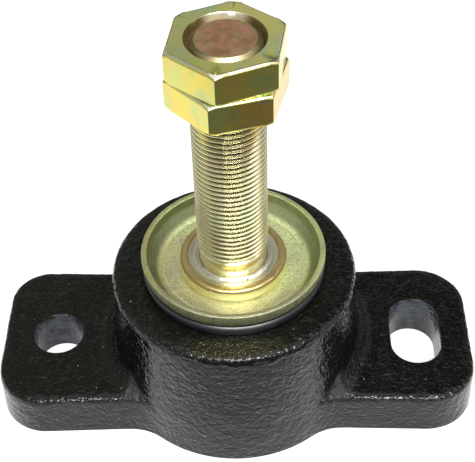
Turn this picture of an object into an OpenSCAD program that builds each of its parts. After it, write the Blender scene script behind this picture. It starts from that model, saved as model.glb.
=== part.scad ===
// Rubber anti-vibration mount. A cast housing with two feet holds a bonded rubber insert, and a
// threaded stud with two thin nuts rises from the insert's inner sleeve through a dished cup washer.
// The origin is on the base plane, on the stud's axis. X runs along the feet and Z runs up the stud.

/* [Housing] */
// Length over both feet at the base
foot_len = 136.4; // [130:0.2:150]
// Width of the feet at the base, over their outer corners
foot_wid = 50.4; // [46:0.2:54]
// How far each side of the feet draws in towards the middle of the housing
foot_taper = 1.5; // [0:0.1:3]
// Thickness of the feet
foot_t = 13.7; // [12:0.1:16]
// Plan radius of the corners beside the round hole, at the base
corner_left = 11.5; // [8:0.5:15]
// Plan radius of the corners beside the slot, at the base
corner_right = 14; // [8:0.5:15]
// Rounding of the feet's top edges
foot_edge = 1.5; // [0.5:0.1:2.5]
// Diameter of the round boss at the base
boss_d = 69.7; // [66:0.1:76]
// Height of the boss above the base
boss_h = 42; // [40:0.5:44]
// Rounding of the boss's top edge
boss_edge = 2; // [1:0.1:3]
// Plan radius where the boss runs into the feet
plan_fillet = 14; // [8:1:18]
// Radius where the boss wall meets the top of the feet
boss_fillet = 6.3; // [3:0.1:7]
// Draft angle of the cast walls in degrees
draft = 1.7; // [1:0.1:3]

/* [Fixing holes] */
// Distance from the round hole to the slot
hole_pitch = 104; // [100:1:108]
// Diameter of the round hole and width of the slot
hole_d = 14.3; // [11:0.1:16]
// Length of the slot from end to end, across the feet
slot_len = 23.6; // [18:0.2:30]
// Break of the holes' edges
hole_break = 0.3; // [0.1:0.1:0.6]

/* [Insert] */
// Diameter of the housing's main bore
bore_d = 49.2; // [48.6:0.1:50]
// Wall of the pressed-in outer sleeve
outer_sleeve_t = 1.5; // [1:0.1:2]
// Diameter of the inner sleeve inside the rubber
sleeve_d = 27; // [26:0.5:29]
// Diameter of the inner sleeve's collar on the cup washer
collar_d = 29.2; // [28.5:0.1:31]
// Height of the collar above the cup's floor
collar_h = 4.2; // [3:0.1:4.4]
// Radius of the rubber bead under the cup
bead_r = 1.7; // [1.2:0.1:2]

/* [Cup washer] */
// Outer diameter of the rim
cup_d = 50.2; // [49.8:0.1:51]
// Height of the cup's floor above the base
cup_floor = 43; // [42.5:0.1:43.5]
// Height of the rim above the base
cup_rim = 48.9; // [48.4:0.1:50]
// Sheet thickness
cup_t = 1.5; // [1.2:0.1:1.8]

/* [Stud and nuts] */
// Thread diameter of the stud
stud_d = 19.05; // [18.6:0.01:19.1]
// Height of the stud's top above the base
stud_top = 118.5; // [112:0.5:130]
// Width across the nuts' flats
nut_af = 27; // [26:0.1:30]
// Height of one nut
nut_h = 8.9; // [7:0.1:10]

/* [Hidden] */

$fn = 96;
lap = 1;                 // overlap of united solids and overrun of cuts
slack = 0.02;            // radial slack between pieces that are pressed together
run_gap = 0.05;          // radial gap between the nuts and the stud, and round the inner sleeve
rest_gap = 0.3;          // gap between the rubber and the moving metal
slope = tan(draft);

boss_r = boss_d / 2;
half_wid = foot_wid / 2;
waist = half_wid - foot_taper;
hole_x = hole_pitch / 2;
hole_r = hole_d / 2;
slot_run = slot_len / 2 - hole_r;

bore_r = bore_d / 2;
shelf_z = 15;            // top of the inner shoulder, which carries the outer sleeve
shelf_under = 12;        // underside of the shoulder
shelf_r = 19.5;
mouth = 0.6;             // chamfer at the top of the main bore
recess_r = 25;           // recess under the shoulder, where the rebound washer moves
insert_r = bore_r - outer_sleeve_t;
insert_top = boss_h - 1.5; // top of the outer sleeve, which the rubber laps over

sleeve_r = sleeve_d / 2;
neck_r = 12.5;           // the inner sleeve's neck in the cup's hole
collar_r = collar_d / 2;
collar_top = cup_floor + collar_h;
collar_edge = 0.9;
collar_break = 0.25;     // break of the edge round the stud
groove_r = 1.9;          // section radius of the ring groove in the collar's face
groove_mid = 11.2;       // radius of the groove's middle
groove_up = 1;           // height of the section's centre above the collar's face

cup_r = cup_d / 2;
cup_under = cup_floor - cup_t;
cup_slope = 41;          // steepness of the cup's wall in degrees
cup_bend = 2.5;          // inner radius where the floor turns up
cup_lip = 2;             // inner radius where the wall turns upright
cup_upright = 2;         // height of the upright rim
cup_bend_x = 19.2;       // radius at which the floor starts to turn up
cup_lip_x = cup_r - cup_t - cup_lip;

shank_r = 9.2;
thread_r = stud_d / 2;
thread_end = 51.3;       // lower end of the thread
stud_face_r = 7.45;      // flat end of the stud, inside its chamfer
head_r = 12.5;
head_z = 3.5;
head_h = 3.5;
head_chamfer = 0.8;
washer_z = head_z + head_h;
washer_t = 3;
washer_r = 22.5;
washer_chamfer = 0.5;
pad_r = 22;
bead_x = 23.4;
bead_z = boss_h + 1;

nut_top = stud_top + 0.4;   // the upper nut stands a little above the stud's end
nut_chamfer = 30;        // angle of the chamfers in degrees
nut_face = 0.7;          // how far the round edge of a nut's face passes its flats
nut_sink = 0.4;          // countersink at both ends of a nut's bore
lock_turn = 22;          // how far each nut is turned on the stud, in degrees
adjusting_turn = 15;

// Points of an arc, from angle a0 to a1 round (x, y)
function arc(x, y, r, a0, a1, n = 8) =
    [for (i = [0:n]) let (a = a0 + (a1 - a0) * i / n) [x + r * cos(a), y + r * sin(a)]];

// The cup's bowl as seen in section, from the floor up to the rim. grow = 0 is the inner face.
function bowl(grow) = concat(
    arc(cup_bend_x, cup_floor + cup_bend, cup_bend + grow, -90, cup_slope - 90, 6),
    arc(cup_lip_x, cup_rim - cup_upright, cup_lip + grow, cup_slope - 90, 0, 6),
    [[cup_lip_x + cup_lip + grow, cup_rim]]);

// Angle in plan between a foot's side and the X axis, for corners of radius r
function side_angle(r) = atan(foot_taper / (foot_len / 2 - r));

// Where the line of a foot's side crosses the Y axis
function side_start(r) = waist - r + r / cos(side_angle(r));

// Centre of the circle that touches both the boss and the line of a foot's side
function web_centre(r) =
    let (k = tan(side_angle(r)), a = 1 + k * k, c = side_start(r) + plan_fillet / cos(side_angle(r)),
         x = (sqrt(k * k * c * c - a * (c * c - pow(boss_r + plan_fillet, 2))) - k * c) / a)
    [x, c + k * x];

// One foot on the side of +X: a drafted plate with corners of radius r and rounded top edges
module foot(r) {
    top_r = r - (foot_t - foot_edge) * slope;
    hull()
        for (spot = [[0, waist - r], [foot_len / 2 - r, half_wid - r]], side = [-1, 1])
            translate([spot[0], spot[1] * side, 0])
                rotate_extrude($fn = 48)
                    polygon(concat([[0, 0], [r, 0]],
                                   arc(top_r - foot_edge, foot_t - foot_edge, foot_edge, 0, 90, 6),
                                   [[0, foot_t]]));
}

// One concave corner where the boss runs into a foot, in the quarter of +X and +Y. Its top edge is
// rounded like the feet's, and what rises above the feet slopes back from that edge at 45 degrees.
module web(h, r) {
    edge_r = plan_fillet + (foot_t - foot_edge) * slope;
    flare = boss_fillet + 2 * lap;
    mid = web_centre(r);
    end = mid + plan_fillet * [sin(side_angle(r)), -cos(side_angle(r))];
    difference() {
        linear_extrude(h)
            polygon([[0, 0], [end[0], 0], end, mid * boss_r / (boss_r + plan_fillet)]);
        translate([mid[0], mid[1], 0])
            rotate_extrude()
                polygon(concat([[0, -lap], [plan_fillet - lap * slope, -lap]],
                               arc(edge_r + foot_edge, foot_t - foot_edge, foot_edge, 180, 90, 6),
                               [[edge_r + foot_edge + flare, foot_t + flare], [0, foot_t + flare]]));
    }
}

module webs(h) {
    for (my = [0, 1])
        mirror([0, my, 0]) {
            web(h, corner_right);
            mirror([1, 0, 0])
                web(h, corner_left);
        }
}

module boss() {
    top_r = boss_r - (boss_h - boss_edge) * slope;
    rotate_extrude()
        polygon(concat([[0, 0], [boss_r, 0]],
                       arc(top_r - boss_edge, boss_h - boss_edge, boss_edge, 0, 90),
                       [[0, boss_h]]));
}

// The cast fillet between the boss wall and the top of the feet. It fades out towards the feet's
// rounded side edges.
module boss_foot_fillet() {
    wall_r = boss_r - foot_t * slope;
    top_z = foot_t + boss_fillet;
    web_end = web_centre(corner_left)[1] - plan_fillet * cos(side_angle(corner_left));
    side_y = web_end - (foot_t - foot_edge) * slope - foot_edge;
    rise = boss_fillet + lap;
    intersection() {
        rotate_extrude()
            polygon(concat([[wall_r - 2 * lap, top_z], [wall_r - 2 * lap, foot_t - lap],
                            [wall_r + boss_fillet, foot_t - lap]],
                           arc(wall_r + boss_fillet, top_z, boss_fillet, 270, 180)));
        union() {
            rotate([90, 0, 90])
                linear_extrude(foot_len, center = true)
                    polygon([[-side_y, foot_t - 2 * lap], [side_y, foot_t - 2 * lap], [side_y, foot_t],
                             [side_y - rise, foot_t + rise], [rise - side_y, foot_t + rise],
                             [-side_y, foot_t]]);
            webs(top_z + lap);
        }
    }
}

// A straight hole through a foot with both edges broken
module foot_hole() {
    translate([0, 0, -lap])
        cylinder(h = foot_t + 2 * lap, r = hole_r);
    translate([0, 0, -lap])
        cylinder(h = lap + hole_break, r1 = hole_r + hole_break + lap, r2 = hole_r);
    translate([0, 0, foot_t - hole_break])
        cylinder(h = lap + hole_break, r1 = hole_r, r2 = hole_r + hole_break + lap);
}

module foot_slot() {
    for (y = [-slot_run, slot_run])
        translate([0, y, -lap])
            cylinder(h = foot_t + 2 * lap, r = hole_r);
    translate([-hole_r, -slot_run, -lap])
        cube([hole_d, 2 * slot_run, foot_t + 2 * lap]);
}

module housing() {
    color("#1c1c1b")
        difference() {
            union() {
                foot(corner_right);
                mirror([1, 0, 0])
                    foot(corner_left);
                webs(foot_t);
                boss();
                boss_foot_fillet();
            }
            rotate_extrude()
                polygon([[0, -lap], [recess_r, -lap], [recess_r, shelf_under], [shelf_r, shelf_under],
                         [shelf_r, shelf_z], [bore_r, shelf_z], [bore_r, boss_h - mouth],
                         [bore_r + mouth, boss_h], [bore_r + mouth, boss_h + lap], [0, boss_h + lap]]);
            translate([-hole_x, 0, 0])
                foot_hole();
            translate([hole_x, 0, 0])
                foot_slot();
        }
}

// A plain tube
module tube(z, h, ro, ri) {
    translate([0, 0, z])
        difference() {
            cylinder(h = h, r = ro);
            translate([0, 0, -lap])
                cylinder(h = h + 2 * lap, r = ri);
        }
}

module outer_sleeve() {
    color("#8d8f90")
        tube(shelf_z, insert_top - shelf_z, bore_r - slack, insert_r);
}

// The rubber fills the space between the sleeves, laps over the outer sleeve and swells out as a
// bead, and its top takes the shape of the cup that sits on it.
module rubber_insert() {
    color("#15171c")
        difference() {
            union() {
                rotate_extrude()
                    polygon([[sleeve_r + run_gap, shelf_z + slack], [insert_r - slack, shelf_z + slack],
                             [insert_r - slack, insert_top + slack], [bore_r - slack, insert_top + slack],
                             [bore_r - slack, boss_h], [bead_x, bead_z], [sleeve_r + run_gap, bead_z]]);
                rotate_extrude()
                    translate([bead_x, bead_z])
                        circle(r = bead_r, $fn = 48);
            }
            rotate_extrude()
                polygon(concat([[0, cup_under - rest_gap]], bowl(cup_t + rest_gap),
                               [[cup_r + rest_gap, cup_rim + lap], [0, cup_rim + lap]]));
        }
}

// The inner sleeve passes through the rubber and the cup, and its end is spread into a collar
// with a ring groove rolled in its face.
module inner_sleeve() {
    color("#b58f5c")
        difference() {
            rotate_extrude()
                polygon(concat([[shank_r + slack, washer_z + washer_t], [sleeve_r, washer_z + washer_t],
                                [sleeve_r, cup_under], [neck_r, cup_under], [neck_r, cup_floor],
                                [collar_r, cup_floor]],
                               arc(collar_r - collar_edge, collar_top - collar_edge, collar_edge, 0, 90, 6),
                               [[shank_r + collar_break, collar_top],
                                [shank_r + slack, collar_top - collar_break]]));
            rotate_extrude()
                translate([groove_mid, collar_top + groove_up])
                    circle(r = groove_r, $fn = 48);
        }
}

module cup_washer() {
    inner = bowl(0);
    color("#b9ad5e")
        rotate_extrude()
            polygon(concat([[neck_r + slack, cup_under]], bowl(cup_t),
                           [for (i = [len(inner) - 1:-1:0]) inner[i]], [[neck_r + slack, cup_floor]]));
}

// The threaded length is a plain cylinder of the thread's major diameter.
module stud() {
    color("#c9b45c")
        rotate_extrude()
            polygon([[0, head_z], [head_r - head_chamfer, head_z], [head_r, head_z + head_chamfer],
                     [head_r, washer_z], [shank_r, washer_z], [shank_r, thread_end],
                     [thread_r, thread_end + thread_r - shank_r],
                     [thread_r, stud_top - (thread_r - stud_face_r)], [stud_face_r, stud_top],
                     [0, stud_top]]);
}

// A rubber ring bonded under the housing's shoulder, which takes the pull when the stud is lifted
module rebound_pad() {
    color("#1b1d22")
        tube(washer_z + washer_t + rest_gap, shelf_under - washer_z - washer_t - rest_gap, pad_r,
             sleeve_r + rest_gap);
}

module rebound_washer() {
    top_z = washer_z + washer_t;
    color("#b9ad5e")
        rotate_extrude()
            polygon([[shank_r + slack, washer_z], [washer_r - washer_chamfer, washer_z],
                     [washer_r, washer_z + washer_chamfer], [washer_r, top_z - washer_chamfer],
                     [washer_r - washer_chamfer, top_z], [shank_r + slack, top_z]]);
}

// A thin hexagon nut with both faces chamfered, standing on height z
module thin_nut(z, turn) {
    face_r = nut_af / 2 + nut_face;
    corner_r = nut_af / sqrt(3);
    drop = (corner_r + lap - face_r) * tan(nut_chamfer);
    bore = thread_r + run_gap;
    translate([0, 0, z])
        difference() {
            intersection() {
                rotate([0, 0, turn])
                    cylinder(h = nut_h, r = corner_r, $fn = 6);
                rotate_extrude()
                    polygon([[0, 0], [face_r, 0], [corner_r + lap, drop], [corner_r + lap, nut_h - drop],
                             [face_r, nut_h], [0, nut_h]]);
            }
            rotate_extrude()
                polygon([[0, -lap], [bore + nut_sink + lap, -lap], [bore, nut_sink],
                         [bore, nut_h - nut_sink], [bore + nut_sink + lap, nut_h + lap], [0, nut_h + lap]]);
        }
}

module adjusting_nut() {
    color("#c4b45a")
        thin_nut(nut_top - 2 * nut_h, adjusting_turn);
}

module lock_nut() {
    color("#c4b45a")
        thin_nut(nut_top - nut_h, lock_turn);
}

housing();
outer_sleeve();
rubber_insert();
inner_sleeve();
cup_washer();
stud();
rebound_pad();
rebound_washer();
adjusting_nut();
lock_nut();
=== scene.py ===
import math
import bmesh
import bpy
from mathutils import Matrix, Vector, noise


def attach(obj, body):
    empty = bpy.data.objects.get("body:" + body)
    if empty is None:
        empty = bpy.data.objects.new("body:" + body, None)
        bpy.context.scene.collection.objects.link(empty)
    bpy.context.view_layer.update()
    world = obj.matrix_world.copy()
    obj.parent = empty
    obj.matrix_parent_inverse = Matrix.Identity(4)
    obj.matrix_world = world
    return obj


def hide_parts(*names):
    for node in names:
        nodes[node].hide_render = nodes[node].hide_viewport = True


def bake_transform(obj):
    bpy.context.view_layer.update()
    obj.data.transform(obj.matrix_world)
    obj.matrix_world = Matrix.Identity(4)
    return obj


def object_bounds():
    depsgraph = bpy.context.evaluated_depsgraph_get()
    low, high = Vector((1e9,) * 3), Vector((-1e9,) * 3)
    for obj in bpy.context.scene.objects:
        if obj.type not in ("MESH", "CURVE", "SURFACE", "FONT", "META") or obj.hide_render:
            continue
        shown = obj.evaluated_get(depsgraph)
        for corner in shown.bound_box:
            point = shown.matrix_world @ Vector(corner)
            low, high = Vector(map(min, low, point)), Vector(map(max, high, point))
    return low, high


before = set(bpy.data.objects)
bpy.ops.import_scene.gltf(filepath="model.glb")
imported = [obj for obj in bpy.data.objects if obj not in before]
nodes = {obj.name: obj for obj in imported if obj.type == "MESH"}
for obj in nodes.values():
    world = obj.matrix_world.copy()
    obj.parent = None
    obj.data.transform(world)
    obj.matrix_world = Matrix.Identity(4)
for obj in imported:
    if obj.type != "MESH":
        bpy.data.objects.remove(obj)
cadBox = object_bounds()  # the CAD model's box, which the finished pieces stay inside
scene = bpy.context.scene
scene.view_settings.view_transform = "Standard"
mm = 0.001  # shapes are drawn in millimetres and scaled once when they are finished

# camera and photograph frame

view = {
    "turn": 1.81,  # degrees round the stud
    "height": 45.10,  # degrees above the floor
    "roll": -1.88,
    "focal": 1200.68,  # in pixels of the photograph
    "imageWidth": 475,
    "sensor": 36.0,
    "across": -2.58,  # pixels from the image's middle to the aim point
    "up": 66.98,
    "distance": 0.34053,
    "aim": (0, 0, 0.0285),
}


def placeCamera(v):
    lens = bpy.data.cameras.new("camera")
    lens.sensor_width = v["sensor"]
    lens.lens = v["focal"] * v["sensor"] / v["imageWidth"]
    lens.clip_start, lens.clip_end = 0.01, 20
    cam = bpy.data.objects.new("camera", lens)
    scene.collection.objects.link(cam)
    turned = Matrix.Rotation(math.radians(v["turn"]), 3, "Z")
    turned = turned @ Matrix.Rotation(math.radians(90 - v["height"]), 3, "X")
    turned = turned @ Matrix.Rotation(math.radians(v["roll"]), 3, "Z")
    perPixel = v["distance"] / v["focal"]
    spot = Vector(v["aim"]) + turned.col[2] * v["distance"]
    spot += turned.col[1] * v["up"] * perPixel - turned.col[0] * v["across"] * perPixel
    cam.matrix_world = Matrix.Translation(spot) @ turned.to_4x4()
    scene.camera = cam


placeCamera(view)
print("camera placed")

# shader wiring


class Wire:
    # one output of a node, so that masks and heights are written as plain maths
    def __init__(self, socket):
        self.socket = socket
        self.tree = socket.id_data

    def node(self, kind, settings=None, sockets=None, out=0):
        made = addNode(self.tree, kind, settings, sockets)
        return Wire(made.outputs[out])

    def maths(self, operation, first, second=0.0):
        return self.node("ShaderNodeMath", {"operation": operation}, {0: first, 1: second})

    def __add__(self, other):
        return self.maths("ADD", self, other)

    def __radd__(self, other):
        return self.maths("ADD", other, self)

    def __sub__(self, other):
        return self.maths("SUBTRACT", self, other)

    def __rsub__(self, other):
        return self.maths("SUBTRACT", other, self)

    def __mul__(self, other):
        return self.maths("MULTIPLY", self, other)

    def __rmul__(self, other):
        return self.maths("MULTIPLY", other, self)

    def __truediv__(self, other):
        return self.maths("DIVIDE", self, other)

    def __pow__(self, other):
        return self.maths("POWER", self, other)

    def __abs__(self):
        return self.maths("ABSOLUTE", self)

    def between(self, low, high):
        # 0 below low and 1 above high, with a soft step
        settings = {"interpolation_type": "SMOOTHSTEP"}
        return self.node("ShaderNodeMapRange", settings, {"Value": self, "From Min": low, "From Max": high})

    def mixed(self, first, second):
        # colour first where this mask is 0, and second where it is 1
        settings = {"data_type": "RGBA"}
        return self.node("ShaderNodeMix", settings, {0: self, 6: first, 7: second}, out=2)

    def parts(self):
        split = addNode(self.tree, "ShaderNodeSeparateXYZ", None, {0: self})
        return [Wire(s) for s in split.outputs]


def addNode(tree, kind, settings=None, sockets=None):
    made = tree.nodes.new(kind)
    for name, value in (settings or {}).items():
        if name == "stops":
            ramp = made.color_ramp
            while len(ramp.elements) < len(value):
                ramp.elements.new(0.5)
            for element, (position, colour) in zip(ramp.elements, value):
                element.position = position
                element.color = (*colour, 1)
        else:
            setattr(made, name, value)
    for name, value in (sockets or {}).items():
        socket = made.inputs[name]
        if isinstance(value, Wire):
            tree.links.new(value.socket, socket)
        elif socket.type == "RGBA" and len(value) == 3:
            socket.default_value = (*value, 1)
        else:
            socket.default_value = value
    return made


def newPaint(name, fixed):
    # a material with its shader's constant values set, and the piece's own coordinates in metres
    paint = bpy.data.materials.new(name)
    paint.use_nodes = True
    tree = paint.node_tree
    tree.nodes.clear()
    shader = addNode(tree, "ShaderNodeBsdfPrincipled", None, fixed)
    output = addNode(tree, "ShaderNodeOutputMaterial")
    tree.links.new(shader.outputs[0], output.inputs["Surface"])
    place = Wire(addNode(tree, "ShaderNodeTexCoord").outputs["Object"])
    return paint, shader, place


def feed(shader, **wires):
    names = {"colour": "Base Color", "roughness": "Roughness", "metallic": "Metallic", "normal": "Normal"}
    for key, wire in wires.items():
        wire.tree.links.new(wire.socket, shader.inputs[names[key]])


def cloud(place, size, detail=2.0, roughness=0.5, warp=0.0, offset=(0, 0, 0), stretch=(1, 1, 1)):
    # soft noise with blotches about size millimetres wide
    moved = place.node("ShaderNodeMapping", None, {"Vector": place, "Location": offset, "Scale": stretch})
    sockets = {"Vector": moved, "Scale": 1 / (size * mm), "Detail": detail, "Roughness": roughness}
    sockets["Distortion"] = warp
    return place.node("ShaderNodeTexNoise", {"noise_dimensions": "3D"}, sockets)


def tinted(colour, mask, tint):
    # colour multiplied by the tint where the mask is 1
    settings = {"data_type": "RGBA", "blend_type": "MULTIPLY"}
    return mask.node("ShaderNodeMix", settings, {0: mask, 6: colour, 7: tint}, out=2)


def cells(place, size, out=0, offset=(0, 0, 0)):
    moved = place.node("ShaderNodeMapping", None, {"Vector": place, "Location": offset})
    return place.node("ShaderNodeTexVoronoi", None, {"Vector": moved, "Scale": 1 / (size * mm)}, out=out)


def specks(place, size, share, radius, offset=(0, 0, 0)):
    # a spot in a share of the cells: 1 in the spot and 0 round it
    near = cells(place, size, offset=offset)
    pick = cells(place, size, out=1, offset=offset).parts()[0]
    return near.between(radius, radius * 0.6) * pick.between(1 - share, 1 - share + 0.02)


def slopeOf(place):
    # 1 on level tops, 0 on upright walls and -1 underneath
    return place.node("ShaderNodeTexCoord", out=1).parts()[2]


def bumped(height, depth):
    # height runs from 0 to 1, and depth is in millimetres
    return height.node("ShaderNodeBump", None, {"Strength": 1.0, "Distance": depth * mm, "Height": height})


# stage: floor, room and lamps

stage = {
    "floorSize": 3.0,
    "floorDrop": 0.0001,  # keeps the floor just clear of the base
    "floorWhite": 0.34,
    "floorGlow": 0.82,
    "floorDark": (0.02, 0.02, 0.02),  # what the floor is past its front edge, in reflections only
    "frontEdge": -0.086,  # where the table ends in front, as the nuts reflect it
    "edgeBlur": 0.012,
    "edgeSlant": -0.12,
    "dusk": (-0.036, -0.056, 0.40),  # where the floor starts to darken and stops, and by how much
    # brightness of the room from the horizon (0) to straight up (1), behind the mount and in front of it
    "behind": ((0.0, (0.12, 0.12, 0.11)), (0.30, (0.14, 0.14, 0.13)), (0.46, (0.46, 0.46, 0.43)),
               (0.61, (0.46, 0.47, 0.43)), (0.68, (0.25, 0.25, 0.215)), (0.84, (0.21, 0.21, 0.18)),
               (0.90, (0.95, 0.95, 0.92)), (1.0, (0.95, 0.95, 0.90))),
    "before": ((0.0, (0.60, 0.60, 0.60)), (0.22, (0.60, 0.60, 0.60)), (0.55, (0.36, 0.37, 0.36)),
               (0.78, (0.36, 0.36, 0.34)), (0.90, (0.50, 0.50, 0.48))),
    "rightSky": (1.10, 1.08, 1.02),
    "leftSky": (0.36, 0.36, 0.30),
    "rightShade": (0.07, 0.07, 0.065),  # behind and to the right, as the tops reflect it
}

# where each lamp hangs, what it points at, its width and height, and its radiance
lamps = {
    "key": ((0.12, -0.69, 0.79), (0, 0, 0.05), (0.80, 0.30), 20.5),
    "front": ((0.10, -0.90, 0.42), (0, 0, 0.04), (0.80, 0.28), 1.2),
    "overhead": ((0.1, -0.20, 1.05), (0, 0, 0.05), (1.50, 0.40), 1.0),
    "right": ((0.80, -0.15, 0.48), (0, 0, 0.03), (0.10, 0.24), 2.5),
}


def layFloor(s):
    bm = bmesh.new()
    bmesh.ops.create_grid(bm, x_segments=4, y_segments=4, size=s["floorSize"] / 2)
    mesh = bpy.data.meshes.new("floor")
    bm.to_mesh(mesh)
    bm.free()
    floor = bpy.data.objects.new("floor", mesh)
    floor.location.z = -s["floorDrop"]
    scene.collection.objects.link(floor)
    paint = bpy.data.materials.new("floor")
    paint.use_nodes = True
    tree = paint.node_tree
    tree.nodes.clear()
    place = Wire(addNode(tree, "ShaderNodeTexCoord").outputs["Object"])
    path = addNode(tree, "ShaderNodeLightPath")
    rays = ("Is Camera Ray", "Is Glossy Ray", "Is Transmission Ray")
    camera, glossy, through = (Wire(path.outputs[ray]) for ray in rays)
    seen = camera.maths("MAXIMUM", camera, camera.maths("MAXIMUM", glossy, through))
    across, along, _ = place.parts()
    edge = along + across * s["edgeSlant"]
    past = edge.between(s["frontEdge"] + s["edgeBlur"], s["frontEdge"] - s["edgeBlur"])
    start, stop, most = s["dusk"]
    dark = glossy * edge.maths("MAXIMUM", along.between(start, stop) * most, past)
    lit = dark.mixed((s["floorWhite"],) * 3, s["floorDark"])
    white = place.node("ShaderNodeBsdfDiffuse", None, {"Color": lit})
    strength = seen * (1 - dark * 0.85) * s["floorGlow"]
    glow = place.node("ShaderNodeEmission", None, {"Color": (1, 1, 1), "Strength": strength})
    both = place.node("ShaderNodeAddShader", None, {0: white, 1: glow})
    addNode(tree, "ShaderNodeOutputMaterial", None, {"Surface": both})
    mesh.materials.append(paint)


def lightRoom(s):
    room = bpy.data.worlds.new("room")
    scene.world = room
    room.use_nodes = True
    tree = room.node_tree
    tree.nodes.clear()
    way = Wire(addNode(tree, "ShaderNodeTexCoord").outputs["Generated"])
    across, along, rise = way.parts()
    behind = rise.node("ShaderNodeValToRGB", {"stops": s["behind"]}, {0: rise})
    before = rise.node("ShaderNodeValToRGB", {"stops": s["before"]}, {0: rise})
    sky = along.between(-0.10, 0.10).mixed(before, behind)
    shade = rise.between(0.62, 0.69) * rise.between(0.88, 0.82)
    shade = shade * along.between(0.0, 0.2) * across.between(-0.08, 0.12)
    sky = shade.mixed(sky, s["rightShade"])
    high = rise.between(0.40, 0.62) * rise.between(0.99, 0.93)
    sky = (high * across.between(0.34, 0.60) * along.between(0.42, 0.15)).mixed(sky, s["rightSky"])
    sky = (high * across.between(-0.20, -0.50)).mixed(sky, s["leftSky"])
    camera = Wire(addNode(tree, "ShaderNodeLightPath").outputs["Is Camera Ray"])
    seen = camera.mixed(sky, (1, 1, 1))
    glow = way.node("ShaderNodeBackground", None, {"Color": seen, "Strength": 1.0})
    addNode(tree, "ShaderNodeOutputWorld", None, {"Surface": glow})


def hangLamp(name, spot, aim, size, radiance):
    lamp = bpy.data.lights.new(name, "AREA")
    lamp.shape = "RECTANGLE"
    lamp.size, lamp.size_y = size
    lamp.energy = radiance * math.pi * size[0] * size[1]
    hung = bpy.data.objects.new(name, lamp)
    hung.location = spot
    hung.rotation_mode = "QUATERNION"
    hung.rotation_quaternion = (Vector(aim) - Vector(spot)).to_track_quat("-Z", "Y")
    hung.visible_camera = False
    scene.collection.objects.link(hung)


layFloor(stage)
lightRoom(stage)
for lampName, lamp in lamps.items():
    hangLamp(lampName, *lamp)
print("stage and lamps ready")

# shaping helpers


def curve(x, y, radius, start, end, count=8):
    # points along an arc, angles in degrees
    turns = [math.radians(start + (end - start) * i / count) for i in range(count + 1)]
    return [(x + radius * math.cos(t), y + radius * math.sin(t)) for t in turns]


def spinProfile(bm, profile, steps, lead=0.0):
    # turns a closed outline of (radius, height) points once round the stud's axis
    step = 2 * math.pi / steps
    x, y = math.cos(lead * step), math.sin(lead * step)
    points = [bm.verts.new((r * x, r * y, z)) for r, z in profile]
    edges = [bm.edges.new(pair) for pair in zip(points, points[1:] + points[:1])]
    bmesh.ops.spin(bm, geom=points + edges, cent=(0, 0, 0), axis=(0, 0, 1), dvec=(0, 0, 0),
                   angle=2 * math.pi, steps=steps, use_merge=True, use_duplicate=False)
    tidyMesh(bm)


def tidyMesh(bm, gap=0.0005):
    bmesh.ops.remove_doubles(bm, verts=bm.verts, dist=gap)
    bmesh.ops.dissolve_degenerate(bm, edges=bm.edges, dist=gap / 2)
    loose = [v for v in bm.verts if not v.link_faces]
    bmesh.ops.delete(bm, geom=loose, context="VERTS")
    bmesh.ops.recalc_face_normals(bm, faces=bm.faces)


def makeObject(bm, name):
    bmesh.ops.scale(bm, vec=(mm, mm, mm), verts=bm.verts)
    mesh = bpy.data.meshes.new(name)
    bm.to_mesh(mesh)
    bm.free()
    made = bpy.data.objects.new(name, mesh)
    scene.collection.objects.link(made)
    mesh.shade_smooth()
    return made


def readBack(obj):
    # the object's mesh with its modifiers applied, as a bmesh in millimetres
    bpy.context.view_layer.update()
    shown = obj.evaluated_get(bpy.context.evaluated_depsgraph_get())
    mesh = bpy.data.meshes.new_from_object(shown)
    bpy.data.objects.remove(obj)
    bm = bmesh.new()
    bm.from_mesh(mesh)
    bpy.data.meshes.remove(mesh)
    bmesh.ops.scale(bm, vec=(1 / mm, 1 / mm, 1 / mm), verts=bm.verts)
    return bm


def lump(point, size, seed=0.0):
    return noise.noise(point / size + Vector((seed, seed * 0.7, -seed)))


def smooth(low, high, value):
    t = min(1, max(0, (value - low) / (high - low)))
    return t * t * (3 - 2 * t)


def finishPiece(piece, paint, nodeName, body=None, sharp=None, evenFaces=False):
    piece.data.materials.append(paint)
    if sharp is not None:
        piece.data.set_sharp_from_angle(angle=math.radians(sharp))
    if evenFaces:
        shading = piece.modifiers.new("even", "WEIGHTED_NORMAL")
        shading.keep_sharp = True
    if body:
        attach(piece, body)
    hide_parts(nodeName)
    print(piece.name, "made:", len(piece.data.polygons), "faces")


# cast housing

housing = {
    "voxel": 0.66,
    "smoothing": (14, 0.5, -0.52),  # passes, and how far each one pulls in and pushes out again
    "lumps": ((9.0, 0.10), (3.0, 0.075), (1.6, 0.055)),  # width and height of the sand casting's waves
    "spare": 3.0,  # length that the blank has below the base, and loses at the end
    "inside": 0.02,  # how far the waves stay inside the CAD casting's box
    "boreRadius": 24.6,
    "recessRadius": 25.0,
    "shoulderRadius": 19.5,
    "shoulder": (12.0, 15.0),
    "bossTop": 42.0,
    "footTop": 13.7,
    "holeX": -52.0,
    "slotX": 52.0,
    "holeRadius": 7.15,
    "slotRun": 4.65,
    "edgeRound": 0.45,
    "boreRound": 0.6,
    "past": 3.0,  # how far the drills run past the casting
    "boreSteps": 160,
    "holeSteps": 72,
    "toolMarks": 0.035,
    "flare": ((26.5, 34.5), (14.0, 26.5), (8.0, 14.5)),  # where the feet's edges run into the boss, and fade
    "flareSmoothing": 3,
    "corner": (-68.2, -24.6, 11.5, 14.0),  # the foot corner that is rounder, with its first and last radius
}

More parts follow.
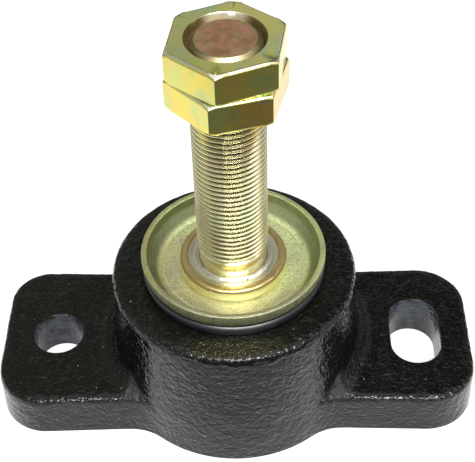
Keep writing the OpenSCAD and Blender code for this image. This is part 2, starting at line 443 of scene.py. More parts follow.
enamel = {
    "black": ((0.0014, 0.0014, 0.0011), (0.0036, 0.0036, 0.0032)),
    "dust": (0.24, 0.24, 0.22),
    "cupReflection": (0.15, 0.14, 0.07),  # painted reflection of the cup, glinting on the ledge in front of it
    "ledge": ((-25.0, -28.0), (41.3, 41.7), (17.0, 4.0)),  # where they are: back to front, upwards, sideways
    "inHoles": (0.034, 0.041, 0.054),
    "holeCoat": (0.35, 0.1),  # how far outside the drilled radius that coat starts, and is full
    "dullSpot": (28.2, 21.2),  # where the edges of the feet run into the boss
    "dullReach": (7.0, 1.0),
    "dullHeight": (8.0, 12.5),
    "depth": 0.22,  # of the sand texture
}


def solidCasting(h):
    # the CAD casting as it leaves the mould, before any hole is drilled
    bm = bmesh.new()
    bm.from_mesh(nodes["housing"].data)
    bmesh.ops.scale(bm, vec=(1 / mm, 1 / mm, 1 / mm), verts=bm.verts)
    bmesh.ops.remove_doubles(bm, verts=bm.verts, dist=0.002)
    drilled, slack = [], 0.01
    for face in bm.faces:
        x, y, z = face.calc_center_median()
        ends = max(abs(y) - h["slotRun"], 0)
        inBore = math.hypot(x, y) < h["recessRadius"] + 0.3 and slack < z < h["bossTop"] - slack
        beside = min(math.hypot(x - h["holeX"], y), math.hypot(x - h["slotX"], ends))
        inFoot = beside < h["holeRadius"] + 0.4 and slack < z < h["footTop"] - slack
        if inBore or inFoot:
            drilled.append(face)
    bmesh.ops.delete(bm, geom=drilled, context="FACES")
    bmesh.ops.holes_fill(bm, edges=bm.edges, sides=0)
    bmesh.ops.recalc_face_normals(bm, faces=bm.faces)
    low = [v for v in bm.verts if v.co.z < 0.01]
    bmesh.ops.translate(bm, vec=(0, 0, -h["spare"]), verts=low)
    return bm


def roundCorner(bm, x, y, old, new):
    # draws one foot corner in from its first radius to a larger one
    middle = Vector((x + new, y + new))
    shift = Vector((old - new, old - new))
    for v in bm.verts:
        way = v.co.xy - middle
        if way.x >= 0 or way.y >= 0:
            continue
        side = way.normalized()
        lean = side.dot(shift)
        reach = lean + math.sqrt(lean ** 2 - shift.length_squared + old ** 2)
        tip = side * reach - shift
        if tip.x > 0 or tip.y > 0:
            reach = new / max(abs(side.x), abs(side.y))
        v.co.xy = middle + way * (1 - (1 - new / reach) * smooth(0.5, 1.0, way.length / reach))


def relax(bm, verts, factor):
    bmesh.ops.smooth_vert(bm, verts=verts, factor=factor, use_axis_x=True, use_axis_y=True, use_axis_z=True)


def roughenCasting(bm, h):
    passes, pull, push = h["smoothing"]
    for factor in (pull, push) * passes:
        relax(bm, bm.verts, factor)
    spans = h["flare"]
    flare = [v for v in bm.verts if all(low < abs(c) < high for c, (low, high) in zip(v.co, spans))]
    for _ in range(h["flareSmoothing"]):
        relax(bm, flare, 0.5)
    roundCorner(bm, *h["corner"])
    bm.normal_update()
    wide, deep, _ = (c / mm - h["inside"] for c in cadBox[1])
    for v in bm.verts:
        wave = sum(depth * lump(v.co, width, width) for width, depth in h["lumps"])
        v.co += v.normal * (wave - 0.03) * smooth(-0.5, 2.0, v.co.z)
        v.co.x = min(wide, max(-wide, v.co.x))
        v.co.y = min(deep, max(-deep, v.co.y))
        v.co.z = min(h["bossTop"], v.co.z)
    bmesh.ops.bisect_plane(bm, geom=bm.verts[:] + bm.edges[:] + bm.faces[:], dist=0.0001,
                           plane_co=(0, 0, 0), plane_no=(0, 0, -1), clear_outer=True)
    bmesh.ops.holes_fill(bm, edges=[e for e in bm.edges if e.is_boundary], sides=0)


def makeDrill(h, x, run, marks):
    # a drill for one foot hole, drawn out by run to both sides for a slot
    drill = bmesh.new()
    r, soft, top, past = h["holeRadius"], h["edgeRound"], h["footTop"], h["past"]
    wall = [(r + soft, -past), (r + soft, 0)]
    count = 40
    for i in range(count + 1):
        z = soft + (top - 2 * soft) * i / count
        mark = h["toolMarks"] * marks * (math.sin(z * 5.2) + 0.6 * math.sin(z * 8.7 + 1)) * smooth(2, 8, z)
        wall.append((r - abs(mark), z))
    wall += [(r + soft - across, up) for across, up in curve(0, top - soft, soft, 0, 90, 3)]
    wall += [(r + soft, top + past)]
    spinProfile(drill, [(0, -past)] + wall + [(0, top + past)], h["holeSteps"], 0.5)
    for v in drill.verts:
        if run and abs(v.co.y) > 0.01:
            v.co.y += math.copysign(run, v.co.y)
        if run and v.co.x > 0 and v.co.z > 6:
            # the slot's right edge is rough at the top
            burr = lump(v.co, 1.1, 3) * 0.35 * smooth(6, 12, v.co.z)
            burr *= smooth(3, 6.5, v.co.x) * smooth(-9, -2, v.co.y)
            v.co.x += burr
            v.co.z += burr
    bmesh.ops.translate(drill, vec=(x, 0, 0), verts=drill.verts)
    bmesh.ops.recalc_face_normals(drill, faces=drill.faces)
    return drill


def cutHoles(bm, h):
    # one mesh that holds every drill and boring bar
    tools = bmesh.new()
    low, high = h["shoulder"]
    r, top, soft, past = h["boreRadius"], h["bossTop"], h["boreRound"], h["past"]
    bore = [(0, -past), (h["recessRadius"], -past), (h["recessRadius"], low), (h["shoulderRadius"], low),
            (h["shoulderRadius"], high), (r, high)]
    bore += [(r + soft - x, y) for x, y in curve(0, top - soft, soft, 0, 90, 4)]
    bore += [(r + soft, top + past), (0, top + past)]
    spinProfile(tools, bore, h["boreSteps"])
    for x, run, marks in ((h["holeX"], 0, 0.6), (h["slotX"], h["slotRun"], 1.0)):
        drill = makeDrill(h, x, run, marks)
        part = bpy.data.meshes.new("drill")
        drill.to_mesh(part)
        drill.free()
        tools.from_mesh(part)
        bpy.data.meshes.remove(part)
    cutter = makeObject(tools, "cutter")
    casting = makeObject(bm, "casting")
    cut = casting.modifiers.new("holes", "BOOLEAN")
    cut.operation = "DIFFERENCE"
    cut.solver = "EXACT"
    cut.object = cutter
    drilled = readBack(casting)
    bpy.data.objects.remove(cutter)
    return drilled


def enamelPaint(e, h):
    paint, shader, place = newPaint("blackEnamel", {"IOR": 1.45, "Metallic": 0.0})
    x, y, z = place.parts()
    # the sand shows on the walls, and the enamel has run smoother on the level tops
    slope = slopeOf(place)
    level = slope.between(0.80, 0.97)
    peel = cloud(place, 2.4, 1.0).between(0.28, 0.72)
    grain = cloud(place, 1.15, 1.0, offset=(2, 6, 1), stretch=(1, 1, 0.9)).between(0.30, 0.70)
    scars = cloud(place, 2.4, 1.0, stretch=(0.5, 0.5, 1.5)).between(0.60, 0.68)
    dints = specks(place, 2.3, 0.40, 0.28)
    height = peel * 0.30 + grain * 0.42 - dints * 0.55 - scars * 0.45
    dust = specks(place, 2.9, 0.16, 0.085, (3, 1, 2)) + specks(place, 1.6, 0.05, 0.12, (1, 5, 0))
    colour = (dust * 0.8).mixed(cloud(place, 11, 3.0).mixed(*e["black"]), e["dust"])
    # painted reflection: glints of the cup's golden colour on the rough ledge in front of it
    (back, front), (low, high), (side, middle) = e["ledge"]
    ledge = y.between(back * mm, front * mm) * z.between(low * mm, high * mm)
    ledge = ledge * abs(x).between(side * mm, middle * mm)
    glints = cloud(place, 0.55, 2.0, 0.6, offset=(2, 2, 9)).between(0.56, 0.66)
    colour = (ledge * (0.04 + glints * 0.7)).mixed(colour, e["cupReflection"])
    # the holes were cut after the first coat and show a thinner, bluish one
    r, run = h["holeRadius"] * mm, h["slotRun"] * mm
    past = y.maths("MAXIMUM", abs(y) - run, 0.0)
    rounded = ((x - h["holeX"] * mm) ** 2 + y * y) ** 0.5
    slotted = ((x - h["slotX"] * mm) ** 2 + past * past) ** 0.5
    start, full = e["holeCoat"]
    wall = x.maths("MINIMUM", rounded, slotted).between(r + start * mm, r + full * mm)
    thin = cloud(place, 4.0, 3.0, offset=(5, 5, 0)).between(0.35, 0.62)
    colour = (wall * thin).mixed(colour, e["inHoles"])
    # dull where the edges of the feet run into the boss
    (spotX, spotY), (far, near), (low, high) = e["dullSpot"], e["dullReach"], e["dullHeight"]
    aside = ((abs(x) - spotX * mm) ** 2 + (abs(y) - spotY * mm) ** 2) ** 0.5
    sloped = slope.between(0.22, 0.55) * slope.between(0.985, 0.88)
    dull = aside.between(far * mm, near * mm) * sloped * z.between(low * mm, high * mm)
    rough = 0.08 + cloud(place, 5.0, 3.0, offset=(7, 0, 0)) * 0.10 + dust * 0.25 + wall * 0.08 + dull * 0.5
    # the texture is deepest on the rounded edges and shallowest in the holes
    edged = slope.between(0.30, 0.55) * slope.between(0.97, 0.85)
    soft = 1 + edged * 0.7 - wall * 0.6 - level * (0.35 - y.between(-22 * mm, -28 * mm) * 0.35)
    feed(shader, colour=colour, roughness=rough, normal=bumped(height * soft, e["depth"]))
    return paint


def makeHousing(h, e):
    blank = makeObject(solidCasting(h), "blank")
    voxels = blank.modifiers.new("voxels", "REMESH")
    voxels.mode = "VOXEL"
    voxels.voxel_size = h["voxel"] * mm
    casting = readBack(blank)
    roughenCasting(casting, h)
    drilled = cutHoles(casting, h)
    tidyMesh(drilled)
    piece = makeObject(drilled, "castHousing")
    finishPiece(piece, enamelPaint(e, h), "housing", "base", sharp=42)


makeHousing(housing, enamel)

# stud with its rolled thread

stud = {
    "pitch": 1.5875,  # 16 threads to the inch, right hand
    "crest": 9.525,
    "root": 8.56,
    "rootRise": 0.05,  # rounding at the bottom of the groove, and at the crest
    "crestFall": 0.03,
    "shank": 9.2,
    "start": 51.3,
    "runOut": 1.9,  # over which the thread grows out of the shank
    "top": 118.5,
    "faceRadius": 7.45,
    "breakRadius": 0.35,  # rounding of the face's edge
    "steps": 72,
    "head": (12.5, 3.5, 7.0),  # radius, bottom and top of the head in the recess
    "plate": ((0.82, 0.75, 0.46), (0.76, 0.77, 0.46), (0.84, 0.72, 0.54)),  # yellow, green and pink
    "blotch": 14,
    # painted shade in the bottoms of the grooves
    "grooveShade": (0.16, 0.12, 0.06),
    # painted shade in the gap round the stud's end, inside the nut's mouth
    "end": (0.52, 0.42, 0.22),
    "face": ((0.24, 0.14, 0.07), (0.37, 0.185, 0.12)),
    "faceOlive": (0.32, 0.26, 0.12),
}


def threadTurn(s):
    # one turn of the thread, starting at a root
    bm = bmesh.new()
    p, deep, high = s["pitch"], s["root"], s["crest"]
    foot, shoulder = deep + s["rootRise"], high - s["crestFall"]
    outline = [(deep, 0), (foot, p * 0.09), (shoulder, p * 0.40), (high, p * 0.43), (high, p * 0.57),
               (shoulder, p * 0.60), (foot, p * 0.91), (deep, p)]
    points = [bm.verts.new((r, 0, z)) for r, z in outline]
    edges = [bm.edges.new(pair) for pair in zip(points, points[1:])]
    bmesh.ops.spin(bm, geom=points + edges, cent=(0, 0, 0), axis=(0, 0, 1), dvec=(0, 0, p / s["steps"]),
                   angle=2 * math.pi, steps=s["steps"], use_merge=False, use_duplicate=False)
    return bm


def studMesh(s):
    bm = threadTurn(s)
    first = bm.verts[:] + bm.edges[:] + bm.faces[:]
    turns = int((s["top"] - s["start"]) / s["pitch"]) + 4
    low = s["start"] - 2 * s["pitch"]
    bmesh.ops.translate(bm, vec=(0, 0, low), verts=bm.verts)
    for i in range(1, turns):
        copied = bmesh.ops.duplicate(bm, geom=first)
        verts = [g for g in copied["geom"] if isinstance(g, bmesh.types.BMVert)]
        bmesh.ops.translate(bm, vec=(0, 0, s["pitch"] * i), verts=verts)
    bmesh.ops.remove_doubles(bm, verts=bm.verts, dist=0.001)
    for v in bm.verts:
        r = math.hypot(v.co.x, v.co.y)
        grown = s["shank"] + (r - s["shank"]) * smooth(s["start"] - 0.2, s["start"] + s["runOut"], v.co.z)
        below = max(0, s["top"] - v.co.z)
        wanted = min(grown, s["faceRadius"] + max(below, math.sqrt(below * s["breakRadius"])))
        v.co.x *= wanted / r
        v.co.y *= wanted / r
    # cut level at the top and just below the thread's start
    for height, side in ((s["top"], 1), (s["start"] - 0.5, -1)):
        bmesh.ops.bisect_plane(bm, geom=bm.verts[:] + bm.edges[:] + bm.faces[:], dist=0.0001,
                               plane_co=(0, 0, height), plane_no=(0, 0, side), clear_outer=True)
    rim = [e for e in bm.edges if e.is_boundary and all(abs(v.co.z - s["top"]) < 0.01 for v in e.verts)]
    cap = bmesh.ops.edgeloop_fill(bm, edges=rim)["faces"]
    bmesh.ops.inset_region(bm, faces=cap, thickness=0.25, depth=0.0)
    bmesh.ops.inset_region(bm, faces=cap, thickness=1.6, depth=0.0)
    bmesh.ops.poke(bm, faces=cap)
    # shank and head, turned down from the thread's lower end
    ring = [e for e in bm.edges if e.is_boundary]
    radius, bottom, top = s["head"]
    steps = [(s["shank"], top + 0.4), (s["shank"] + 0.4, top), (radius - 0.3, top), (radius, top - 0.3),
             (radius, bottom + 0.8), (radius - 0.8, bottom)]
    for r, z in steps:
        grown = bmesh.ops.extrude_edge_only(bm, edges=ring)["geom"]
        ring = [g for g in grown if isinstance(g, bmesh.types.BMEdge)]
        for v in (g for g in grown if isinstance(g, bmesh.types.BMVert)):
            old = math.hypot(v.co.x, v.co.y)
            v.co = Vector((v.co.x * r / old, v.co.y * r / old, z))
    base = bmesh.ops.edgeloop_fill(bm, edges=ring)["faces"]
    bmesh.ops.inset_region(bm, faces=base, thickness=4.0, depth=0.0)
    bmesh.ops.poke(bm, faces=base)
    tidyMesh(bm)
    return bm


def platePaint(name, film, blotch):
    # yellow zinc plate, whose thin film shifts between yellow, green and pink from place to place
    paint, shader, place = newPaint(name, {"Metallic": 1.0})
    yellow, green, pink = film
    drift = cloud(place, blotch, 2.0, warp=0.6)
    blush = cloud(place, blotch * 0.8, 2.0, warp=0.4, offset=(4, 9, 1))
    colour = drift.between(0.38, 0.66).mixed(yellow, green)
    colour = (blush.between(0.46, 0.72) * 0.7).mixed(colour, pink)
    stains = specks(place, 1.1, 0.12, 0.22, (5, 2, 3))
    colour = (stains * 0.35).mixed(colour, (0.25, 0.20, 0.10))
    feed(shader, normal=bumped(cloud(place, 0.35, 2.0, 0.6), 0.012))
    return paint, shader, place, colour


def studPaint(s):
    paint, shader, place, colour = platePaint("studPlate", s["plate"], s["blotch"])
    x, y, height = place.parts()
    reach = (x * x + y * y) ** 0.5
    start, top, face = s["start"], s["top"], s["faceRadius"]
    # painted shade: dark in the bottoms of the grooves, where little light reaches
    groove = reach.between((s["root"] + 0.58) * mm, (s["root"] + 0.28) * mm)
    groove = groove * height.between(start * mm, (start + 1) * mm)
    colour = (groove * 0.72).mixed(colour, s["grooveShade"])
    # the stud's end above the nuts is browner, a painted shade for the gap inside the nut's mouth, and its
    # sawn face is coppery
    end = height.between((top - 2.6) * mm, (top - 2.2) * mm)
    colour = (end * 0.6).mixed(colour, s["end"])
    sawn = height.between((top - 0.10) * mm, (top - 0.01) * mm)
    sawn = sawn * reach.between((face - 0.1) * mm, (face - 0.5) * mm)
    copper = cloud(place, 2.4, 4.0, 0.6).between(0.38, 0.62).mixed(*s["face"])
    olive = cloud(place, 4.5, 3.0, offset=(8, 0, 0)).between(0.52, 0.66)
    copper = (olive * 0.5).mixed(copper, s["faceOlive"])
    roughness = cloud(place, 1.5, 2.0) * 0.10 + 0.16 + end * 0.22 + sawn * 0.06
    feed(shader, colour=sawn.mixed(colour, copper), metallic=1 - sawn * 0.35, roughness=roughness)
    return paint


def makeStud(s):
    piece = makeObject(studMesh(s), "threadedStud")
    finishPiece(piece, studPaint(s), "stud", "core", sharp=24)


makeStud(stud)

# thin hexagon nuts

nuts = {
    "acrossFlats": 27.0,
    "height": 8.9,
    "bore": 9.575,
    "sink": (0.36, 1.8),  # width and depth of the mouth of the bore
    "faceRadius": 14.2,  # the round edge of the end faces, which cuts only the corners
    "chamfer": 30.0,
    "edge": 0.9,  # rounding of the edges round the end faces
    "corner": 0.2,  # rounding of the six upright edges
    "steps": 180,
    "crowd": 0.8,  # how closely the steps crowd round the upright edges
    "top": 118.9,
    "turns": {"lock_nut": 22.0, "adjusting_nut": 15.0},
    "plate": ((0.94, 0.90, 0.30), (0.76, 0.92, 0.44), (0.95, 0.80, 0.42)),  # yellow, green and pink
    "blotch": 7,
    "teal": (0.56, 0.82, 0.60),
    "flats": (0.78, 0.68, 0.44),  # tints: of the flats, of the lower nut's right, of the tops' left
    "lowerRight": (1.0, 0.86, 0.92),
    "topsLeft": (0.80, 0.88, 0.84),
    # painted highlight on the chamfers
    "chamfers": (0.98, 0.95, 0.86),
    # painted shade and highlight in the mouth of the bore: dark to the left and right, pale in front and
    # behind
    "mouth": ((0.30, 0.24, 0.12), (0.95, 0.92, 0.82)),
}


def hexRadius(n, turn):
    # distance from the axis to the rounded hexagon, for a turn measured from a corner
    flat, soft = n["acrossFlats"] / 2, n["corner"]
    away = abs((turn + math.pi / 6) % (math.pi / 3) - math.pi / 6)
    centre = (flat - soft) / math.cos(math.pi / 6)
    if away < math.atan2(soft * 0.5, centre + soft * math.cos(math.pi / 6)):
        return centre * math.cos(away) + math.sqrt(soft ** 2 - (centre * math.sin(away)) ** 2)
    return flat / math.cos(math.pi / 6 - away)


def nutSection(n, outer):
    # half of the section, from the bore's end out over the face and down to mid height
    soft, face, half = n["edge"], n["faceRadius"], n["height"] / 2
    lean = math.radians(n["chamfer"] * smooth(0, 0.5, outer - face))
    drop = max(0, outer - soft * (1 - math.sin(lean)) - face) * math.tan(math.radians(n["chamfer"]))
    centre = half - drop - soft * math.cos(lean)
    bore, (wide, deep), lip = n["bore"], n["sink"], 0.12
    section = [(bore, half - deep), (bore + wide - lip, half - lip), (bore + wide, half)]
    section += [(bore + wide + lip, half), (min(face, outer - soft) - 0.15, half)]
    count = 5
    for i in range(count + 1):
        a = lean + (math.pi / 2 - lean) * i / count
        section.append((outer - soft + soft * math.sin(a), centre + soft * math.cos(a)))
    return section + [(outer, centre - 0.2)]


def nutMesh(n, base, turn):
    bm = bmesh.new()
    middle = base + n["height"] / 2
    count = len(nutSection(n, n["faceRadius"]))
    # a round blank whose radii number its rings, which are then pressed to the hexagon
    first = 20
    blank = [(first + i, 1) for i in range(count)] + [(first + i, -1) for i in reversed(range(count))]
    spinProfile(bm, blank, n["steps"])
    for v in bm.verts:
        around = math.atan2(v.co.y, v.co.x)
        ring = round(math.hypot(v.co.x, v.co.y)) - first
        around -= n["crowd"] * math.sin(6 * around) / 6
        radius, rise = nutSection(n, hexRadius(n, around))[ring]
        way = around + math.radians(turn)
        v.co = Vector((radius * math.cos(way), radius * math.sin(way), middle + math.copysign(rise, v.co.z)))
    tidyMesh(bm)
    return bm


def nutPaint(n):
    paint, shader, place, colour = platePaint("nutPlate", n["plate"], n["blotch"])
    x, y, height = place.parts()
    slope = slopeOf(place)
    teal = cloud(place, 6, 2.0, warp=0.5, offset=(3, 3, 8)).between(0.54, 0.70)
    colour = (teal * 0.55).mixed(colour, n["teal"])
    # the flats are deeper in colour than the end faces, and the lower nut is brownish to the right
    upright = slope.between(0.6, 0.3)
    colour = tinted(colour, upright, n["flats"])
    joint = n["top"] - n["height"]
    lower = height.between((joint + 0.1) * mm, (joint - 0.1) * mm)
    colour = tinted(colour, upright * x.between(0.0, 5 * mm) * lower, n["lowerRight"])
    colour = tinted(colour, x.between(3 * mm, -9 * mm) * slope.between(0.90, 0.97), n["topsLeft"])
    # painted highlight on the chamfers, and painted shade and highlight in the mouth of the bore: dark to
    # the left and right, pale in front and behind
    chamfer = slope.between(0.70, 0.80) * slope.between(0.985, 0.95)
    colour = (chamfer * 0.8).mixed(colour, n["chamfers"])
    rim = n["bore"] + n["sink"][0]
    mouth = ((x * x + y * y) ** 0.5).between((rim + 0.05) * mm, (rim - 0.10) * mm)
    mouthShadeAndHighlight = abs(x).between(6.5 * mm, 3.5 * mm).mixed(*n["mouth"])
    colour = mouth.mixed(colour, mouthShadeAndHighlight)
    roughness = cloud(place, 2.5, 3.0, offset=(0, 3, 6)) * 0.10 + 0.14 + mouth * 0.28
    feed(shader, colour=colour, roughness=roughness)
    return paint


def makeNuts(n):
    paint = nutPaint(n)
    for nodeName, level in (("lock_nut", 1), ("adjusting_nut", 2)):
        mesh = nutMesh(n, n["top"] - n["height"] * level, n["turns"][nodeName])
        piece = makeObject(mesh, nodeName.replace("_n", "N"))
        finishPiece(piece, paint, nodeName, nodeName, sharp=40, evenFaces=True)


makeNuts(nuts)

# pressed cup washer

cup = {
    "hole": 12.52,
    "floor": 43.0,
    "sheet": 1.5,
    "rimRadius": 25.1,
    "rim": 48.9,
    "rimRound": (0.25, 0.45),  # rounding of the rim's inner and outer edge
    "bendX": 19.2,
    "bend": 2.5,
    "lip": 2.0,
    "upright": 2.0,
    "slope": 41.0,
    "coined": 0.10,  # height of the ring pressed into the floor at the bend
    "steps": 160,
    # the second film colour is greener, and painted lighter as well
    "film": ((0.84, 0.80, 0.46), (0.93, 1.0, 0.58)),
    # painted shade: darker and less yellow at the front
    "front": (0.74, 0.77, 1.0),
    "dull": (0.68, 0.66, 0.52),
    "speckle": (0.40, 0.44, 0.22),
    # painted shade on the rim's lip, dimming its highlight
    "lipShade": (0.66, 0.66, 0.56),
    # painted shade on the drawn wall
    "wall": (0.25, 0.27, 0.15),
    "streaks": (0.13, 0.10, 0.045),
}


def bowlLine(c, grow, count=8):
    # the cup's inside from the floor up to the rim, moved outwards by grow
    lipX = c["rimRadius"] - c["sheet"] - c["lip"]
    line = curve(c["bendX"], c["floor"] + c["bend"], c["bend"] + grow, -90, c["slope"] - 90, count)
    line += curve(lipX, c["rim"] - c["upright"], c["lip"] + grow, c["slope"] - 90, 0, count)
    return line + [(lipX + c["lip"] + grow, c["rim"])]


def makeCup(c):
    bm = bmesh.new()
    under, floor, rim, bend, ring = c["floor"] - c["sheet"], c["floor"], c["rim"], c["bendX"], c["coined"]
    softIn, softOut = c["rimRound"]
    inner = bowlLine(c, 0)
    inner[-1] = (inner[-1][0], rim - softIn)
    outer = bowlLine(c, c["sheet"])
    outer[-1] = (outer[-1][0], rim - softOut)
    edge = curve(outer[-1][0] - softOut, rim - softOut, softOut, 0, 90, 4)[1:]
    edge += curve(inner[-1][0] + softIn, rim - softIn, softIn, 90, 180, 3)[:-1]
    coined = [(bend + 0.25, floor + 0.02), (bend - 0.05, floor + ring)]
    coined += [(bend - 0.45, floor + ring), (bend - 0.75, floor)]
    profile = [(c["hole"], under)] + outer + edge + inner[:0:-1] + coined
    profile += [(16.0, floor), (c["hole"], floor)]
    spinProfile(bm, profile, c["steps"])
    # the rim is slightly out of round and out of level
    for v in bm.verts:
        out = Vector((v.co.x, v.co.y, 0)).normalized()
        v.co += out * (lump(v.co, 7, 2) * 0.05 - 0.04) * smooth(20, 25, math.hypot(v.co.x, v.co.y))
        v.co.z += (lump(v.co, 6, 5) * 0.05 - 0.03) * smooth(45, 48, v.co.z)
    tidyMesh(bm)
    piece = makeObject(bm, "cupWasher")
    finishPiece(piece, cupPaint(c), "cup_washer", "core", sharp=50)


def cupPaint(c):
    paint, shader, place = newPaint("cupPlate", {"Metallic": 1.0})
    x, y, z = place.parts()
    reach = (x * x + y * y) ** 0.5
    # the film is greener towards the back and the right, and yellow in front; towards the back and the right
    # it is also painted lighter
    drift = (x * 0.6 + y) / (30 * mm) + cloud(place, 12, 2.0, warp=0.5)
    colour = drift.between(0.15, 0.75).mixed(*c["film"])
    # painted shade: the front is darker and less yellow
    colour = tinted(colour, y.between(-8 * mm, -18 * mm), c["front"])
    dull = cloud(place, 7, 3.0, offset=(1, 6, 2)).between(0.54, 0.70)
    colour = (dull * 0.6).mixed(colour, c["dull"])
    speckle = cloud(place, 0.75, 3.0, 0.7, offset=(4, 1, 2)).between(0.50, 0.60)
    colour = (speckle * 0.50).mixed(colour, c["speckle"])
    # painted shade dims the lip's highlight
    lip = reach.between(23.5 * mm, 23.9 * mm)
    colour = tinted(colour, lip, c["lipShade"])
    # painted shade: the drawn wall is darker than the floor, most on the left; brown streaks run down its
    # outside
    belowRim = z.between((c["rim"] - 0.15) * mm, (c["rim"] - 0.6) * mm)
    drawn = reach.between(20.2 * mm, 21.6 * mm) * belowRim
    colour = (drawn * (0.84 + x.between(6 * mm, -16 * mm) * 0.14)).mixed(colour, c["wall"])
    streaks = cloud(place, 0.9, 3.0, 0.6, stretch=(1, 1, 0.25)).between(0.46, 0.66)
    streaks = streaks * reach.between(24.2 * mm, 24.8 * mm) * belowRim
    colour = (streaks * 0.55).mixed(colour, c["streaks"])
    grain = cloud(place, 0.55, 3.0, 0.65)
    roughness = 0.34 + cloud(place, 1.6, 3.0, offset=(3, 3, 3)) * 0.14 + drawn * 0.05 + lip * 0.12
    feed(shader, colour=colour, roughness=roughness, normal=bumped(grain - speckle * 0.4, 0.15))
    return paint


makeCup(cup)

# inner sleeve with its rolled collar

collar = {
    "bore": 9.22,
    "sleeve": 13.5,
    "neck": 12.5,
    "bottom": 10.0,
    "shoulder": 41.5,
    "floor": 43.0,
    "radius": 14.6,
    "top": 47.2,
    "edge": 0.9,
    "break": 0.25,
    "groove": (11.2, 48.2, 1.9),  # radius, height and size of the hollow rolled into the top
    "steps": 144,
    "ring": ((0.62, 0.47, 0.21), (0.75, 0.58, 0.30)),
    "side": ((0.92, 0.84, 0.44), (0.86, 0.86, 0.50)),
    "hollow": ((0.80, 0.77, 0.62), (0.90, 0.89, 0.82)),
    # painted shade, darker at the front
    "front": (0.86, 0.86, 0.80),
    "pits": (0.05, 0.05, 0.05),
}


def collarPaint(c):
    paint, shader, place = newPaint("collarSteel", {"Metallic": 1.0})
    x, y, z = place.parts()
    wobble = cloud(place, 2.2, 3.0) * 0.9 * mm
    reach = (x * x + y * y) ** 0.5 + wobble
    # a silvery hollow, a brown ring round it and a yellow side
    ring = reach.between(12.55 * mm, 13.0 * mm)
    side = z.between(46.5 * mm, 45.9 * mm)
    brown = cloud(place, 2.6, 3.0).mixed(*c["ring"])
    yellow = cloud(place, 5.0, offset=(2, 0, 0)).mixed(*c["side"])
    silver = cloud(place, 1.6, 3.0, offset=(0, 4, 0)).mixed(*c["hollow"])
    colour = side.mixed(ring.mixed(silver, brown), yellow)
    # painted shade: darker at the front
    colour = tinted(colour, y.between(-3 * mm, -9 * mm), c["front"])
    pits = specks(place, 1.5, 0.10, 0.26, (2, 3, 1))
    colour = (pits * 0.9).mixed(colour, c["pits"])
    roughness = 0.24 + ring * 0.10 + cloud(place, 0.9) * 0.10
    bumps = cloud(place, 1.3, 3.0, 0.6, offset=(1, 1, 1)) - pits * 0.6
    feed(shader, colour=colour, roughness=roughness, normal=bumped(bumps, 0.10))
    return paint


def makeCollar(c):
    bm = bmesh.new()
    gx, gz, gr = c["groove"]
    top, edge, radius, low = c["top"], c["edge"], c["radius"], c["floor"] + 0.02
    half = math.degrees(math.acos((gz - top) / gr))
    hollow = curve(gx, gz, gr, 270 + half, 270 - half, 14)
    profile = [(c["bore"], c["bottom"]), (c["sleeve"] - 0.4, c["bottom"]), (c["sleeve"], c["bottom"] + 0.4)]
    profile += [(c["sleeve"], c["shoulder"]), (c["neck"], c["shoulder"]), (c["neck"], low)]
    profile += [(radius - 0.3, low), (radius, c["floor"] + 0.4), (radius, c["floor"] + 1.6)]
    profile += curve(radius - edge, top - edge, edge, 0, 90, 7)
    profile += hollow + [(c["bore"] + c["break"], top), (c["bore"], top - c["break"])]
    spinProfile(bm, profile, c["steps"])
    # the rolled edge is uneven
    for v in bm.verts:
        r = math.hypot(v.co.x, v.co.y)
        out = Vector((v.co.x, v.co.y, 0)) / r
        rise = smooth(44.0, 46.6, v.co.z)
        v.co += out * (lump(v.co, 2.4, 1) * 0.13 - 0.08) * rise * smooth(12.8, 14.2, r)
        v.co.z += (lump(v.co, 1.9, 6) * 0.12 - 0.05) * rise * smooth(12.0, 13.2, r)
    tidyMesh(bm)
    piece = makeObject(bm, "innerSleeve")
    finishPiece(piece, collarPaint(c), "inner_sleeve", "core", sharp=50)


makeCollar(collar)

# bonded rubber

rubber = {
    "bottom": 15.02,
    "inner": 13.55,
    "outer": 23.08,
    "lapFrom": 40.52,
    "lapTop": 41.2,
    "lapRadius": 24.58,
    "gap": 0.3,  # gap between the cup and the rubber
    "seat": 16.5,  # radius at which the cup's floor starts to press on it
    "bead": (23.4, 43.0, 1.7),
    "beadFrom": 41.55,
    "rings": 14,  # in the walls, for the stretch
    "steps": 144,
    "follow": ((0, 0, 0.028), (0, 0, 0.0408)),  # from here up the rubber moves with the cup
    "pad": (13.8, 22.0, 10.3, 12.0),  # inner and outer radius, bottom and top of the rebound pad
    "padRound": 0.4,
    "padSteps": 96,
    "colour": ((0.002, 0.0022, 0.005), (0.005, 0.0055, 0.010)),
    "bloom": (0.06, 0.06, 0.07),
}


def rubberPaint(r):
    paint, shader, place = newPaint("moulded", {"Metallic": 0.0, "IOR": 1.70})
    haze = cloud(place, 6, 3.0)
    bloom = cloud(place, 1.2, 3.0, offset=(3, 0, 0)).between(0.62, 0.75)
    colour = (bloom * 0.25).mixed(haze.mixed(*r["colour"]), r["bloom"])
    feed(shader, colour=colour, roughness=0.33 + haze * 0.08, normal=bumped(cloud(place, 0.8), 0.02))
    return paint


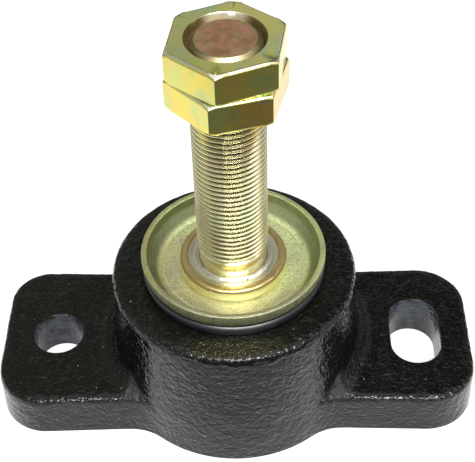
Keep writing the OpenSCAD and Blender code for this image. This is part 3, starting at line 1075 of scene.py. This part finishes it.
def makeRubber(r, c, paint):
    bm = bmesh.new()
    x, z, size = r["bead"]
    low, high, rings = r["bottom"], r["lapFrom"], r["rings"]
    grow = c["sheet"] + r["gap"]
    seat = [p for p in bowlLine(c, grow, 10) if math.hypot(p[0] - x, p[1] - z) < size or p[0] < x]
    under = c["floor"] - c["sheet"] - r["gap"]
    finish = math.degrees(math.atan2(seat[-1][1] - z, seat[-1][0] - x))
    start = math.degrees(math.asin((r["beadFrom"] - z) / size))
    bead = curve(x, z, size, start, finish, 16)
    walls = [low + (high - low) * i / rings for i in range(rings + 1)]
    profile = [(r["inner"], w) for w in reversed(walls)] + [(r["outer"], w) for w in walls]
    profile += [(r["lapRadius"], high), (r["lapRadius"], r["lapTop"])] + bead + seat[::-1]
    profile += [(r["seat"], under), (r["inner"], under)]
    spinProfile(bm, profile, r["steps"])
    piece = makeObject(bm, "rubberInsert")
    finishPiece(piece, paint, "rubber_insert", sharp=50)
    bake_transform(piece)


def makePad(r, paint):
    bm = bmesh.new()
    inner, outer, low, high = r["pad"]
    soft, middle = r["padRound"], (low + high) / 2
    profile = [(inner, high), (inner, middle)] + curve(inner + soft, low + soft, soft, 180, 270, 3)
    profile += curve(outer - soft, low + soft, soft, -90, 0, 3) + [(outer, middle), (outer, high)]
    spinProfile(bm, profile, r["padSteps"])
    piece = makeObject(bm, "reboundPad")
    finishPiece(piece, paint, "rebound_pad", sharp=50)
    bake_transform(piece)


moulded = rubberPaint(rubber)
makeRubber(rubber, cup, moulded)
makePad(rubber, moulded)

# CAD nodes that keep their shape

steel = {
    "tones": ((0.42, 0.42, 0.41), (0.56, 0.55, 0.53)),
}


def steelPaint(s):
    paint, shader, place = newPaint("plainSteel", {"Metallic": 1.0})
    tone = cloud(place, 8, 3.0).mixed(*s["tones"])
    roughness = 0.3 + cloud(place, 2, 3.0) * 0.15
    feed(shader, colour=tone, roughness=roughness, normal=bumped(cloud(place, 0.5), 0.02))
    return paint


def repaint(name, paint):
    mesh = nodes[name].data
    mesh.materials.clear()
    mesh.materials.append(paint)


repaint("outer_sleeve", steelPaint(steel))
repaint("rebound_washer", bpy.data.materials["cupPlate"])
print("every piece painted")
